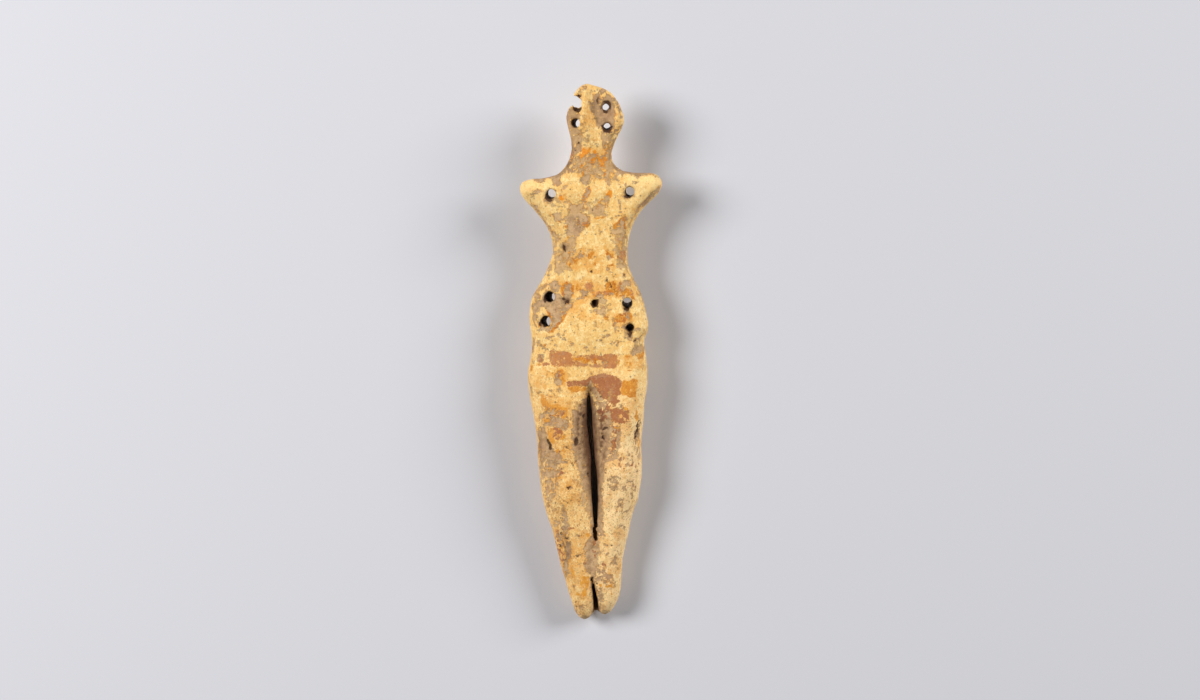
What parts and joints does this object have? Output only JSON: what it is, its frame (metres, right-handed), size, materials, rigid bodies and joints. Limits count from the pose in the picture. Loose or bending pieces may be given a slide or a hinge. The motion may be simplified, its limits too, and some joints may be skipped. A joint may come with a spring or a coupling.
{
  "type": "female figurine",
  "caption": "Slender flat figurine of fired clay lying on its back, with a pierced disc head and pinched nose, short pointed shoulders, pierced hips and tapering joined legs",
  "frame": {"origin": "on the surface that the figurine lies on, below the middle of its bounding box", "axes": "+Y from the feet to the head, +Z from the back to the front, +X across the shoulders, to the viewer's right when the face is seen with the head up"},
  "size_m": [0.0478, 0.18, 0.0257],
  "materials": {
    "fired_clay": "matt cream slip, flaked to grey-brown clay, with worn ochre and red-brown painted bands"
  },
  "bodies": {
    "root": {"figurine": "fired_clay"}
  },
  "joints": []
}
